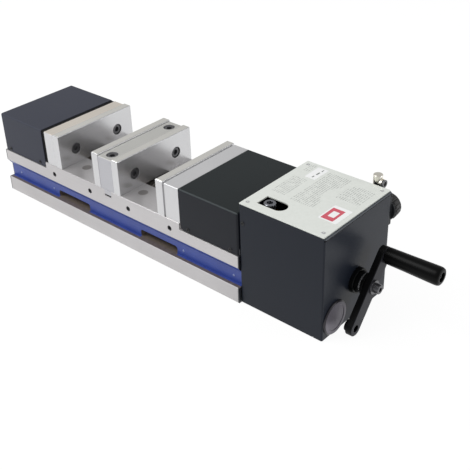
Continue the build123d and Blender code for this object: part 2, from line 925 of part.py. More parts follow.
def grip_washer():
    """The thin washer between the arm and the grip."""
    x = (arm_front, arm_front + grip_washer_thickness)
    return rod_x(x, grip_washer_radius, grip_y, grip_z) - rod_x(x, grip_bolt_radius, grip_y, grip_z)


def end_plug():
    """The round plug: a bevelled disc with a shallow dish, on a spigot in the end wall."""
    face = box_end + plug_proud
    return turned([
        (box_end - plug_spigot_length, 0),
        (box_end - plug_spigot_length, plug_spigot_radius),
        (box_end, plug_spigot_radius),
        (box_end, plug_radius),
        (face - plug_bevel, plug_radius),
        (face, plug_radius - plug_bevel),
        (face, plug_spigot_radius),
        (face - plug_dish, plug_spigot_radius - plug_dish),
        (face - plug_dish, 0),
    ], plug_y, plug_z)


def regulator_body():
    """The block on the rear wall: a round boss for the knob and a shelf for the air inlet."""
    x = (regulator_start, regulator_end)
    y = (box_side, box_side + regulator_depth)
    body = block(x, y, (shelf_level - regulator_height, shelf_level))
    body = fillet(long_edges(body, Axis.Y), box_round)
    boss_end = y[1] + regulator_boss
    body += rod_y((y[1], boss_end), regulator_boss_radius, knob_x, knob_z)
    shelf_x = (regulator_start, regulator_start + shelf_length)
    shelf = block(shelf_x, (box_side, box_side + shelf_reach), (shelf_level - shelf_height, shelf_level))
    body += fillet(long_edges(shelf, Axis.Z).group_by(Axis.Y)[-1], box_round * 2)
    stem_end = boss_end + knob_gap - stem_length
    body -= rod_y((stem_end - face_gap, boss_end), stem_radius + run_fit, knob_x, knob_z)
    socket = inlet_stem_length + face_gap
    return body - rod_z((shelf_level - socket, shelf_level), inlet_stem_radius + run_fit, inlet_x, inlet_y)


def regulator_knob():
    """The fluted knob on the regulator, with its stem."""
    start = box_side + regulator_depth + regulator_boss + knob_gap
    rim = knob_radius - knob_taper
    side = Polyline(
        (0, 0), (knob_radius - knob_bevel, 0), (knob_radius, knob_bevel), (rim, knob_length - knob_bevel),
        (rim - knob_bevel, knob_length), (0, knob_length), close=True,
    )
    knob = revolve(Plane.XZ * make_face(side), Axis.Z)
    for index in range(knob_flutes):
        angle = 2 * math.pi * index / knob_flutes
        place = Pos(knob_radius * math.cos(angle), knob_radius * math.sin(angle))
        knob -= extrude(place * Circle(flute_radius), knob_length)
    knob += extrude(Circle(stem_radius), -stem_length)
    return Plane(origin=(knob_x, start, knob_z), z_dir=(0, 1, 0)) * knob


def inlet_fitting():
    """The elbow: a stem in the shelf, a hexagon, a round body and a barrel toward +X."""
    low = shelf_level + face_gap
    body_low = low + inlet_flange
    upright = rod_z((body_low, body_low + inlet_height), inlet_radius, inlet_x, inlet_y)
    upright = fillet(upright.edges().group_by(Axis.Z)[-1], inlet_top_round)
    hexagon = Pos(inlet_x, inlet_y, low) * RegularPolygon(inlet_flats / 2, 6, major_radius=False)
    body = upright + extrude(hexagon, inlet_flange)
    body += rod_z((shelf_level - inlet_stem_length, low), inlet_stem_radius, inlet_x, inlet_y)
    barrel_end = inlet_x + barrel_length
    body += rod_x((inlet_x, barrel_end), barrel_radius, inlet_y, barrel_z)
    ring_seat = barrel_end - ring_length - face_gap
    body -= rod_x((ring_seat, barrel_end), ring_radius + run_fit, inlet_y, barrel_z)
    return body - rod_x((inlet_x, barrel_end), tube_radius, inlet_y, barrel_z)


def release_ring():
    """The push ring in the mouth of the elbow's barrel."""
    lip_start = inlet_x + barrel_length + ring_travel + face_gap
    lip_radius = barrel_radius - ring_lip_gap
    inner = ring_radius - ring_wall
    return turned([
        (lip_start - ring_length, inner),
        (lip_start - ring_length, ring_radius),
        (lip_start, ring_radius),
        (lip_start, lip_radius),
        (lip_start + ring_lip_length, lip_radius),
        (lip_start + ring_lip_length, inner),
    ], inlet_y, barrel_z)


def pieces():
    """Every piece by name."""
    centre_face = -centre_length / 2 - plate_thickness
    left_centre_plate = jaw_plate(centre_face, bed_top)
    found = {
        "bed": bed(),
        "right_cover": cover(),
        "right_nut": nut(),
        "right_jaw_plate": jaw_plate(open_face, slide_level),
        "right_keeper_front": keeper(-1),
        "right_keeper_rear": keeper(1),
        "right_plate_screw_front": plate_screw(open_face, -plate_screw_y),
        "right_plate_screw_rear": plate_screw(open_face, plate_screw_y),
    }
    for name in [name for name in found if name.startswith("right_")]:
        found[name.replace("right_", "left_")] = other_side(found[name])
    found["right_jaw_body"] = grooved(moving_jaw_body(right_jaw_back))
    found["left_jaw_body"] = other_side(moving_jaw_body(left_jaw_back))
    found["right_wiper"] = wiper(right_jaw_back)
    found["left_wiper"] = other_side(wiper(left_jaw_back))
    found["centre_jaw_body"] = centre_jaw_body()
    found["centre_plate_left"] = left_centre_plate
    found["centre_plate_right"] = other_side(left_centre_plate)
    for end, y in (("front", -plate_screw_y), ("rear", plate_screw_y)):
        screw = plate_screw(centre_face, y)
        found["centre_left_screw_" + end] = screw
        found["centre_right_screw_" + end] = other_side(screw)
        found["hold_down_screw_" + end] = hold_down_screw(math.copysign(hold_down_y, y))
        for side, x in zip(("left", "right"), bed_plug_places):
            place = (x, math.copysign(bed_plug_y, y))
            plug = rod_z((bed_top - bed_plug_depth, bed_top - face_gap), bed_plug_radius, *place)
            found["bed_plug_" + side + "_" + end] = plug
    makers = (
        spindle, steady_block, end_bearing, mounting_plate, thrust_bearing, drive_housing, top_plate,
        selector_guide, selector_shoe, selector_knob, air_piston, piston_seal, drive_shaft, shaft_bush,
        crank_hub, hub_ring, crank_arm, crank_washer, crank_bolt, grip, grip_bolt, grip_washer,
        end_plug, regulator_body, regulator_knob, inlet_fitting, release_ring,
    )
    for maker in makers:
        found[maker.__name__] = maker()
    return found


os.makedirs("parts", exist_ok=True)
for name, shape in pieces().items():
    export_step(shape, "parts/" + name + ".step")
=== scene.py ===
import math
import bmesh
import bpy
from mathutils import Matrix, Vector


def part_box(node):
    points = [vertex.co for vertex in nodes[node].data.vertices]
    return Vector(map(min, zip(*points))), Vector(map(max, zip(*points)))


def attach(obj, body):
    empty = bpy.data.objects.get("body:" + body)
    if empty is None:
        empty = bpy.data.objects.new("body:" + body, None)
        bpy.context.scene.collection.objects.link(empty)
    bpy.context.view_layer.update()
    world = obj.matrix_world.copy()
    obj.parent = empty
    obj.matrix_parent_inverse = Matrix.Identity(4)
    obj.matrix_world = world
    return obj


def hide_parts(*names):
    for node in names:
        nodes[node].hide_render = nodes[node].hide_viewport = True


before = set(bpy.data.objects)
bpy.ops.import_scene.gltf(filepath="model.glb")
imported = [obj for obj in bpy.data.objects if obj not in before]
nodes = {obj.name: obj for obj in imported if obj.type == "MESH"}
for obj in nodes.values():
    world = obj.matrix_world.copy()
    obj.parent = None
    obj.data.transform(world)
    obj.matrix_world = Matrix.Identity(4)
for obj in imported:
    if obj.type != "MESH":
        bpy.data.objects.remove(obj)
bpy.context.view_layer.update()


# The bed: one iron casting, ground bright on its rails, flanks and base ledge. The web between
# them keeps its blue enamel, and the cavity behind the windows its brown foundry skin.
class Tone:
    """A number in a finish. Sums and products of tones add Math nodes."""

    def __init__(self, finish, socket):
        self.finish = finish
        self.socket = socket

    def __add__(self, other):
        return self.finish.math("ADD", self, other)

    def __sub__(self, other):
        return self.finish.math("SUBTRACT", self, other)

    def __rsub__(self, other):
        return self.finish.math("SUBTRACT", other, self)

    def __mul__(self, other):
        return self.finish.math("MULTIPLY", self, other)

    def __truediv__(self, other):
        return self.finish.math("DIVIDE", self, other)

    def __gt__(self, other):
        return self.finish.math("GREATER_THAN", self, other)

    def __lt__(self, other):
        return self.finish.math("LESS_THAN", self, other)

    def __abs__(self):
        return self.finish.math("ABSOLUTE", self)

    __radd__ = __add__
    __rmul__ = __mul__


class Finish:
    """A material: a Principled shader with fixed sockets, and nodes for what varies over it."""

    def __init__(self, name, **fixed):
        self.material = bpy.data.materials.new(name)
        self.material.use_nodes = True
        self.tree = self.material.node_tree
        self.shader = self.tree.nodes["Principled BSDF"]
        for word, value in fixed.items():
            self.shader.inputs[word.replace("_", " ")].default_value = value
        self.place = self.node("TexCoord", output="Object")

    def node(self, kind, settings=None, inputs=None, output=0):
        """Adds a node: its settings first, then the values or links of its sockets."""
        made = self.tree.nodes.new("ShaderNode" + kind)
        for word, value in (settings or {}).items():
            setattr(made, word, value)
        for socket, value in (inputs or {}).items():
            self.feed(made.inputs[socket], value)
        return Tone(self, made.outputs[output])

    def feed(self, socket, value):
        """Links a tone to a socket, or sets the socket to a plain value."""
        if isinstance(value, Tone):
            self.tree.links.new(value.socket, socket)
        else:
            socket.default_value = value

    def math(self, operation, first, second=0.0):
        return self.node("Math", {"operation": operation}, {0: first, 1: second})

    def axis(self, letter):
        return self.node("SeparateXYZ", None, {0: self.place}, letter)

    def grain(self, scale, stretch=(1, 1, 1), detail=3.0, rough=0.55):
        """Noise from 0 to 1, drawn out along the axes whose stretch is small."""
        spread = self.node("Mapping", None, {"Vector": self.place, "Scale": stretch})
        settings = {"noise_dimensions": "3D"}
        inputs = {"Vector": spread, "Scale": scale, "Detail": detail, "Roughness": rough}
        return self.node("TexNoise", settings, inputs)

    def blend(self, share, under, over):
        """The over colour laid on the under one by a share from 0 to 1."""
        settings = {"data_type": "RGBA", "clamp_factor": True}
        return self.node("Mix", settings, {0: share, 6: under, 7: over}, 2)

    def shows(self, **varying):
        """Links what varies to the shader: Base_Color, Roughness, Metallic, Alpha, Coat_Weight."""
        for word, value in varying.items():
            self.feed(self.shader.inputs[word.replace("_", " ")], value)

    def surface(self, height=None, depth=0.0001, strength=1.0, round_off=0.0006):
        """Rounds the edges off a little and raises the surface by a height from 0 to 1."""
        normal = self.node("Bevel", {"samples": 6}, {"Radius": round_off})
        if height is not None:
            inputs = {"Height": height, "Distance": depth, "Strength": strength, "Normal": normal}
            normal = self.node("Bump", None, inputs)
        self.feed(self.shader.inputs["Normal"], normal)


def linear(part):
    """The light that a screen value from 0 to 255 stands for."""
    value = part / 255
    return value / 12.92 if part <= 10 else ((value + 0.055) / 1.055) ** 2.4


def colour(red, green, blue):
    """An opaque colour from its screen values."""
    return (linear(red), linear(green), linear(blue), 1.0)


def dress(finish, *names):
    """Gives CAD pieces one finish."""
    for name in names:
        slots = nodes[name].data.materials
        slots.clear()
        slots.append(finish.material)


# How deep under a flat face its own tone reaches.
face_depth = 0.0004


def ground_steel(name, light, warm, run, roughness=0.3, metallic=0.9, top=None):
    """Steel ground along one axis, clouded a little. A top, as (height, light, warm), differs."""
    finish = Finish(name, Metallic=metallic, IOR=2.2)
    lines = finish.grain(90, tuple(0.05 if axis == run else 22.0 for axis in "XYZ"))
    clouds = finish.grain(9, detail=2.0)
    worn = lines * 0.45 + clouds * 0.55
    tone = finish.blend(worn, warm, light)
    if top:
        level, top_light, top_warm = top
        on_top = finish.axis("Z") > level - face_depth
        tone = finish.blend(on_top, tone, finish.blend(worn, top_warm, top_light))
    finish.shows(Base_Color=tone, Roughness=roughness + (worn - 0.5) * 0.16)
    finish.surface(lines, 0.00002, 0.5)
    return finish


def bed_metal():
    """Ground iron, enamel on the web and foundry skin inside, told apart by where they lie: how
    high, how far from the middle plane, and how near an end. The end faces are coloured dark.
    The brown band on the ledge foot is part dirt and part painted shade, and in front of the
    windows a painted reflection of their dark openings."""
    bed_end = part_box("bed")[1].x
    end_depth = 0.0016
    ledge_top = 0.0247
    foot_from, foot_to = ledge_top - 0.0003, ledge_top + 0.0011
    floor_from, floor_to = ledge_top - 0.002, ledge_top + 0.002
    cavity_from, cavity_to = ledge_top - 0.0004, 0.0625
    enamel_to = 0.0563
    cavity_half = 0.0483
    web_half = 0.0673
    paint_half = 0.0706
    flank_half = 0.0748
    ledge_half = 0.0757
    window_centre = 0.095
    window_reach = 0.0375
    finish = Finish("bed ground and enamelled", IOR=1.6)
    x = abs(finish.axis("X"))
    y = abs(finish.axis("Y"))
    z = finish.axis("Z")
    end = x > bed_end - end_depth
    beside = y > web_half
    opening = abs(x - window_centre) < window_reach
    foot = (z > foot_from) * (z < foot_to) * beside * (y < ledge_half)
    painted_foot = foot * (y < paint_half) * (1 - opening)
    in_web = (z > foot_to) * (z < enamel_to)
    enamel = in_web * beside * (y < flank_half) * (1 - end) + painted_foot
    skin = (z > cavity_from) * (z < cavity_to) * (1 - beside) * (1 - end)
    # The outer rim of the ledge foot, and the foot in front of the windows, take a brown that is
    # part dirt and part painted shade, with a painted reflection of the windows' dark openings.
    grime_and_shade = foot - painted_foot
    hidden_floor = (y < cavity_half) * (z < floor_to) * (z > floor_from)
    skin_dirt_and_shade = skin + hidden_floor + grime_and_shade
    ledge = z < ledge_top + 0.0001
    lines = finish.grain(90, (0.05, 22, 22))
    clouds = finish.grain(7, detail=2.0)
    speckle = finish.grain(160)
    worn = lines * 0.4 + clouds * 0.6
    bright = finish.blend(worn, colour(176, 173, 173), colour(214, 212, 213))
    dull = finish.blend(speckle, colour(80, 70, 62), colour(122, 110, 100))
    grime_and_shade_tone = finish.blend(speckle, colour(70, 60, 60), colour(118, 108, 106))
    # The end faces are coloured dark.
    dark_end_tone = finish.blend(clouds, colour(26, 29, 36), colour(38, 41, 49))
    blue = finish.blend(finish.grain(40, detail=4.0), colour(36, 58, 138), colour(50, 76, 162))
    clean = finish.blend(end, finish.blend(enamel, bright, blue), dark_end_tone)
    coat = finish.blend(skin_dirt_and_shade, clean, finish.blend(grime_and_shade, dull, grime_and_shade_tone))
    metal = (0.6 - ledge * 0.3) * (1 - enamel) * (1 - skin_dirt_and_shade) * (1 - end)
    rough = 0.32 + (worn - 0.5) * 0.16 + enamel * 0.08 + ledge * 0.2 + skin_dirt_and_shade * 0.4
    finish.shows(Base_Color=coat, Metallic=metal, Roughness=rough)
    finish.surface(finish.grain(420) * (enamel + skin) + lines * 0.25, 0.00006, 0.6)
    return finish


dress(bed_metal(), "bed")


# Eight tapped holes in the bed's flanks, for work stops. Each is drilled and threaded, and oil
# keeps the thread dark, so a ribbed sleeve lines the plain hole.
def new_piece(name, mesh, finish, body):
    """A finished piece from a mesh in the frame's own coordinates, riding on a body."""
    data = bpy.data.meshes.new(name)
    mesh.to_mesh(data)
    mesh.free()
    piece = bpy.data.objects.new(name, data)
    bpy.context.scene.collection.objects.link(piece)
    data.materials.append(finish.material)
    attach(piece, body)
    return piece


def smooth(piece, angle=math.radians(35)):
    """Shades round faces smooth and leaves edges sharper than the angle crisp."""
    data = piece.data
    mesh = bmesh.new()
    mesh.from_mesh(data)
    for edge in mesh.edges:
        edge.smooth = len(edge.link_faces) == 2 and edge.calc_face_angle(0.0) < angle
    for face in mesh.faces:
        face.smooth = True
    mesh.to_mesh(data)
    mesh.free()
    return piece


def bridge(mesh, lower, upper):
    """Faces between two rings of vertices. Either may be a single vertex."""
    steps = max(len(lower), len(upper))
    for step in range(steps):
        near = (step + 1) % steps
        corners = (
            lower[step % len(lower)], lower[near % len(lower)],
            upper[near % len(upper)], upper[step % len(upper)],
        )
        mesh.faces.new(list(dict.fromkeys(corners)))


def lathe(mesh, profile, place, steps):
    """Turns (radius, height) points about the Z axis of a placing matrix. A radius of 0 closes."""
    rings = []
    for radius, height in profile:
        if radius == 0:
            rings.append([mesh.verts.new(place @ Vector((0, 0, height)))])
            continue
        ring = []
        for step in range(steps):
            angle = 2 * math.pi * step / steps
            point = Vector((radius * math.cos(angle), radius * math.sin(angle), height))
            ring.append(mesh.verts.new(place @ point))
        rings.append(ring)
    for lower, upper in zip(rings, rings[1:]):
        bridge(mesh, lower, upper)
    return rings


def facing(point, direction):
    """A placing matrix at a point with its Z axis along a direction."""
    turn = Vector(direction).to_track_quat("Z", "Y").to_matrix().to_4x4()
    return Matrix.Translation(Vector(point)) @ turn


def oiled_steel(name):
    """Blackened steel with an oily sheen that is uneven in patches."""
    finish = Finish(name, Metallic=0.7, IOR=1.8)
    patches = finish.grain(260)
    finish.shows(
        Base_Color=finish.blend(patches, colour(20, 20, 22), colour(52, 52, 55)),
        Roughness=0.28 + patches * 0.22,
    )
    finish.surface(patches, 0.00002, 0.5, 0.0003)
    return finish


thread_black = oiled_steel("oiled thread")
flanks = ((-1, "front"), (1, "rear"))
hole_places = (-0.1275, -0.0425, 0.0425, 0.1275)
hole_mouth = 0.0749
hole_height = 0.0695
hole_radius = 0.00395
hole_depth = 0.0125
hole_pitch = 0.00125
rib_rise = 0.0006
ribs = []
for index in range(int(hole_depth / hole_pitch)):
    ribs.append((hole_radius, index * hole_pitch))
    ribs.append((hole_radius - rib_rise, (index + 0.5) * hole_pitch))
ribs.append((0, hole_depth))
for side, word in flanks:
    sleeve = bmesh.new()
    for x in hole_places:
        lathe(sleeve, ribs, facing((x, side * hole_mouth, hole_height), (0, -side, 0)), 24)
    new_piece("flank_threads_" + word, sleeve, thread_black, "bed_and_drive_box")


# Small steel drive pins in the enamelled web. Each closes a drilled oil way and is filed flush,
# and a film of enamel left on it tints the steel blue.
pin_light = colour(138, 150, 196)
pin_dark = colour(104, 118, 172)
pin_steel = ground_steel("tinted pin steel", pin_light, pin_dark, "Y", 0.4, 0.4)
pin_places = (-0.232, -0.145, 0.145, 0.239)
pin_height = 0.035
pin_radius = 0.0019
pin_dome = [(pin_radius, -0.0005), (pin_radius, 0.0003), (pin_radius * 0.8, 0.0006), (0, 0.0007)]
web_face = 0.0677
for side, word in flanks:
    pins = bmesh.new()
    for x in pin_places:
        lathe(pins, pin_dome, facing((x, side * web_face, pin_height), (0, side, 0)), 20)
    smooth(new_piece("web_pins_" + word, pins, pin_steel, "bed_and_drive_box"))


# Round plugs let into the rails: steel slugs pressed over the screws beneath, ground with the
# rail afterwards, so that only a fine dark ring and duller steel tell them from it.
plug_steel = ground_steel("plug steel", colour(176, 172, 170), colour(142, 138, 136), "Y", 0.36)
dress(
    plug_steel, "bed_plug_left_front", "bed_plug_left_rear",
    "bed_plug_right_front", "bed_plug_right_rear",
)


# Folded covers over the ends of the bed: sheet steel in a fine dark texture paint, held by two
# button-head screws through each skirt. A paler band along the folds is a painted highlight,
# and the right cover's sides are painted darker than its top as shade.
fold_reach = 0.0018
sheet_top_depth = 0.0006
lip_depth = 0.001


def texture_paint(name, pale, deep, roughness, cover=None, lip=None):
    """Baked texture paint with a fine pebble. A cover, as (piece, top tones, fold highlight tone),
    has its own top and a painted highlight along its folds. A lip along an end face, as (face,
    foot, shadow foot, highlight tones, shadow tone), is painted paler as a highlight, with a
    painted shadow under it that is also made half metallic."""
    finish = Finish(name, IOR=1.28)
    pebble = finish.grain(900, detail=2.0)
    clouds = finish.grain(6, detail=3.0)
    coat = finish.blend(clouds * 0.7 + pebble * 0.3, deep, pale)
    if cover:
        piece, top_tones, fold_highlight_tone = cover
        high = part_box(piece)[1]
        z = finish.axis("Z")
        fold = (z > high.z - fold_reach) * (abs(finish.axis("Y")) > high.y - fold_reach)
        # A paler band along the folds is a painted highlight.
        fold_highlight = fold * (finish.grain(60) * 0.5 + 0.5)
        coat = finish.blend(z > high.z - sheet_top_depth, coat, finish.blend(clouds, *top_tones))
        coat = finish.blend(fold_highlight, coat, fold_highlight_tone)
    if lip:
        face, foot, shadow_foot, lip_highlight, shadow_tone = lip
        z = finish.axis("Z")
        outer = finish.axis("X") > face - lip_depth
        # The lip and the top of the end face are painted paler as a highlight, and a band under
        # them dark as a painted shadow.
        painted_lip_shadow = outer * (z < foot) * (z > shadow_foot)
        coat = finish.blend(outer * (z > foot), coat, finish.blend(clouds, *lip_highlight))
        coat = finish.blend(painted_lip_shadow, coat, shadow_tone)
        finish.shows(Metallic=painted_lip_shadow * 0.5)
    finish.shows(Base_Color=coat, Roughness=roughness + pebble * 0.12)
    finish.surface(pebble, 0.00006, 0.5, 0.0012)
    return finish


left_tones = (colour(56, 59, 71), colour(49, 52, 64))
# The right cover's sides are painted a little darker and bluer than its top, as shade.
right_shaded_side_tones = (colour(28, 31, 38), colour(21, 24, 31))
right_top = (colour(28, 35, 37), colour(21, 27, 29))
left_cover = ("left_cover", left_tones, colour(66, 69, 80))
right_cover = ("right_cover", right_top, colour(66, 72, 74))
dress(texture_paint("left cover paint", *left_tones, 0.36, left_cover), "left_cover")
dress(texture_paint("right cover paint", *right_shaded_side_tones, 0.36, right_cover), "right_cover")


def button_head(mesh, point, direction, radius, height):
    """A low domed screw head with a hexagon socket."""
    steps = 24
    socket_radius = radius * 0.46
    dome = [
        (radius, -0.0003), (radius, height * 0.25), (radius * 0.93, height * 0.6),
        (radius * 0.72, height * 0.9), (radius * 0.52, height),
    ]
    socket = [(socket_radius, height), (socket_radius, height * 0.2), (0, height * 0.1)]
    place = facing(point, direction)
    rim = lathe(mesh, dome, place, steps)[-1]
    hexagon = lathe(mesh, socket, place, 6)[0]
    for step in range(steps):
        near = (step + 1) % steps
        corner, next_corner = hexagon[(step + 2) // 4 % 6], hexagon[(near + 2) // 4 % 6]
        mesh.faces.new(list(dict.fromkeys((rim[step], rim[near], next_corner, corner))))


screw_black = oiled_steel("screw black")
head_height = 0.0011
skirt_face = 0.074
skirt_screw_places = (0.163, 0.240)
skirt_screw_height = 0.0802
skirt_screw_radius = 0.003
for word, sign in (("left", -1), ("right", 1)):
    heads = bmesh.new()
    for x in skirt_screw_places:
        for side in (-1, 1):
            seat = (sign * x, side * skirt_face, skirt_screw_height)
            button_head(heads, seat, (0, side, 0), skirt_screw_radius, head_height)
    smooth(new_piece(word + "_cover_screws", heads, screw_black, "bed_and_drive_box"))


# Rubber wipers in the covers' mouths: moulded lips that keep chips off the jaws' tails. The seal
# of the air piston is made of the same rubber.
def moulded_rubber(name):
    """Black rubber with a dull bloom."""
    finish = Finish(name, IOR=1.3)
    bloom = finish.grain(300)
    finish.shows(
        Base_Color=finish.blend(bloom, colour(4, 4, 5), colour(12, 12, 13)),
        Roughness=0.6 + bloom * 0.25,
    )
    finish.surface(bloom, 0.00004, 0.5)
    return finish


dress(moulded_rubber("wiper rubber"), "left_wiper", "right_wiper", "piston_seal")


# Moving and fixed jaws: steel blocks, ground all over, with a trace of oil on the left one's top.
# Their plates are hardened and ground finer, with the lines of the last pass up the work face.
jaw_light = colour(224, 224, 225)
jaw_dark = colour(194, 194, 196)
oily_top = (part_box("left_jaw_body")[1].z, colour(230, 223, 212), colour(203, 194, 183))
left_steel = ground_steel("left jaw steel", jaw_light, jaw_dark, "Y", 0.36, 0.5, oily_top)
dress(left_steel, "left_jaw_body")
dress(ground_steel("jaw steel", jaw_light, jaw_dark, "Y", 0.36, 0.5), "right_jaw_body")
centre_light = colour(198, 198, 203)
centre_dark = colour(168, 168, 173)
centre_top = (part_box("centre_jaw_body")[1].z, colour(212, 212, 207), colour(184, 183, 179))
centre_steel = ground_steel(
    "centre jaw steel", centre_light, centre_dark, "Y", 0.36, 0.5, centre_top,
)
dress(centre_steel, "centre_jaw_body")
plate_light = colour(222, 222, 223)
plate_dark = colour(196, 196, 198)
plate_top = (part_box("left_jaw_plate")[1].z, colour(240, 239, 234), colour(218, 216, 210))
plate_steel = ground_steel("plate steel", plate_light, plate_dark, "Z", 0.24, 0.78, plate_top)
dress(plate_steel, "left_jaw_plate", "right_jaw_plate", "centre_plate_left", "centre_plate_right")


# Socket screws of the jaws: alloy steel, black from the factory and rubbed a little on the rim.
# Two hold each plate, and two more hold the centre jaw down.
screw_grey = ground_steel("screw grey", colour(112, 112, 115), colour(70, 70, 73), "Z", 0.36, 0.7)
for place in ("left_plate", "right_plate", "centre_left", "centre_right", "hold_down"):
    dress(screw_grey, place + "_screw_front", place + "_screw_rear")


# Running gear in the bed's channel: the bearing blocks, bronze nuts and keeper bars are plain
# machined steel and bronze, oiled and never painted.
gear_light = colour(176, 175, 174)
gear_dark = colour(132, 130, 128)
gear_steel = ground_steel("machined steel", gear_light, gear_dark, "Y", 0.38)
dress(gear_steel, "steady_block", "end_bearing", "thrust_bearing", "drive_shaft", "air_piston")
dress(gear_steel, "left_keeper_front", "left_keeper_rear")
dress(gear_steel, "right_keeper_front", "right_keeper_rear")
dress(thread_black, "mounting_plate")


def cast_bronze(name):
    """Bronze, turned and slightly tarnished."""
    finish = Finish(name, Metallic=1.0)
    tarnish = finish.grain(120)
    finish.shows(
        Base_Color=finish.blend(tarnish, colour(150, 112, 58), colour(206, 166, 98)),
        Roughness=0.26 + tarnish * 0.2,
    )
    finish.surface(tarnish, 0.00002, 0.5)
    return finish


bronze = cast_bronze("bronze")
dress(bronze, "left_nut", "right_nut", "selector_shoe")


# The spindle: one long screw, cut right-handed on one half and left-handed on the other, with
# plain lands at the steady, the ends and the runouts.
spindle_axis = 0.0575
spindle_radius = 0.014
spindle_lead = 0.010
spindle_starts = 2
spindle_steps = 48
thread_depth = 0.0021
thread_from = 0.021
thread_to = 0.239
crest_share = 0.3
flank_share = 0.4
station_gap = 0.00065
neck_radius = 0.012
journal_radius = 0.010
journal_to = -0.2409
journal_bevel = 0.0005
land_half = 0.016
land_bevel = 0.0002


def thread_radius(along, angle, hand):
    """Radius of a trapezoid thread of two starts at a place along the axis and round it."""
    phase = (spindle_starts * (along / spindle_lead * hand - angle / (2 * math.pi))) % 1.0
    from_crest = abs(phase * 2 - 1)
    sunk = min(1.0, max(0.0, (from_crest - crest_share) / flank_share))
    return spindle_radius - thread_depth * sunk


def spindle_mesh():
    """Threaded halves drawn ring by ring, with turned ends and a plain middle."""
    low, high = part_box("spindle")
    runout = thread_from - 0.0005
    shoulder = land_half + land_bevel
    threaded = range(int((thread_to - thread_from) / station_gap) + 1)
    stations = [(low.x, 0), (low.x, journal_radius - journal_bevel)]
    stations += [(low.x + journal_bevel, journal_radius), (journal_to, journal_radius)]
    stations += [(journal_to, neck_radius), (-thread_to, neck_radius)]
    stations += [(-thread_to + station_gap * index, None) for index in threaded]
    stations += [(-runout, neck_radius), (-shoulder, neck_radius), (-land_half, spindle_radius)]
    stations += [(land_half, spindle_radius), (shoulder, neck_radius), (runout, neck_radius)]
    stations += [(thread_from + station_gap * index, None) for index in threaded]
    stations += [(thread_to + 0.001, neck_radius), (thread_to + 0.002, spindle_radius)]
    stations += [(high.x, spindle_radius), (high.x, 0)]
    mesh = bmesh.new()
    rings = []
    for x, radius in stations:
        if radius == 0:
            rings.append([mesh.verts.new((x, 0, spindle_axis))])
            continue
        ring = []
        for index in range(spindle_steps):
            angle = 2 * math.pi * index / spindle_steps
            reach = thread_radius(x, angle, 1 if x > 0 else -1) if radius is None else radius
            y, z = reach * math.cos(angle), spindle_axis + reach * math.sin(angle)
            ring.append(mesh.verts.new((x, y, z)))
        rings.append(ring)
    for left, right in zip(rings, rings[1:]):
        for index in range(spindle_steps):
            near = (index + 1) % spindle_steps
            corners = (
                left[index % len(left)], right[index % len(right)],
                right[near % len(right)], left[near % len(left)],
            )
            mesh.faces.new(list(dict.fromkeys(corners)))
    return mesh


spindle_light = colour(158, 152, 146)
spindle_dark = colour(112, 106, 100)
spindle_steel = ground_steel("spindle steel", spindle_light, spindle_dark, "Z", 0.3)
crisp_angle = math.radians(24)
screw = smooth(new_piece("threaded_spindle", spindle_mesh(), spindle_steel, "crank"), crisp_angle)
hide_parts("spindle")


# The drive box: an aluminium casting under a smooth dark satin paint, fitted over the plate on
# the bed's end and held there by a screw in each side. A dark shadow is painted on its end face
# under its lip, and the lip is painted paler as a highlight.
box_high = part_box("drive_housing")[1]
lip_foot = box_high.z - 0.0017
shadow_foot = box_high.z - 0.0046
lip_highlight_tones = (colour(70, 74, 80), colour(84, 88, 94))
box_lip_light_and_shadow = (box_high.x, lip_foot, shadow_foot, lip_highlight_tones, colour(10, 13, 19))
box_tones = (colour(30, 35, 45), colour(22, 27, 37))
box_paint = texture_paint("drive box paint", *box_tones, 0.3, lip=box_lip_light_and_shadow)
dress(box_paint, "drive_housing")
box_side = 0.0724
box_screw_x = 0.2612
box_screw_height = 0.1277
box_screw_radius = 0.0029
box_screws = bmesh.new()
for side in (-1, 1):
    seat = (box_screw_x, side * box_side, box_screw_height)
    button_head(box_screws, seat, (0, side, 0), box_screw_radius, head_height)
smooth(new_piece("drive_box_screws", box_screws, screw_black, "bed_and_drive_box"))


# A small bevelled lip, painted with the box and paler as a painted highlight, sheds coolant
# along its end face under the plate.
# Its section is in millimetres, out from the face and up from the box's top.
lip_section = ((-0.4, -0.2), (0.4, -0.2), (1.6, -2.4), (1.4, -3.1), (-0.4, -3.4))
lip_half = 0.0716
lip = bmesh.new()
lip_ends = []
for y in (-lip_half, lip_half):
    points = [(box_high.x + out / 1000, y, box_high.z + up / 1000) for out, up in lip_section]
    lip_ends.append([lip.verts.new(point) for point in points])
bridge(lip, *lip_ends)
for corners in lip_ends:
    lip.faces.new(corners)
bmesh.ops.recalc_face_normals(lip, faces=lip.faces)
new_piece("drive_box_lip", lip, box_paint, "bed_and_drive_box")


# The top plate: anodised aluminium sheet, pale and satin. Rows of fine grey marks stand where
# such a plate is printed, with a small white panel and a plain red pad beside them. Each block of
# rows is given in millimetres, as x from and to, and y from and to.
print_blocks = ((266, 290, -22, 28), (300, 336, -25, 62), (341, 379, 13, 53), (267, 277, 47, 68))
row_pitch = 0.0033
row_share = 0.42
ink_strength = 0.5


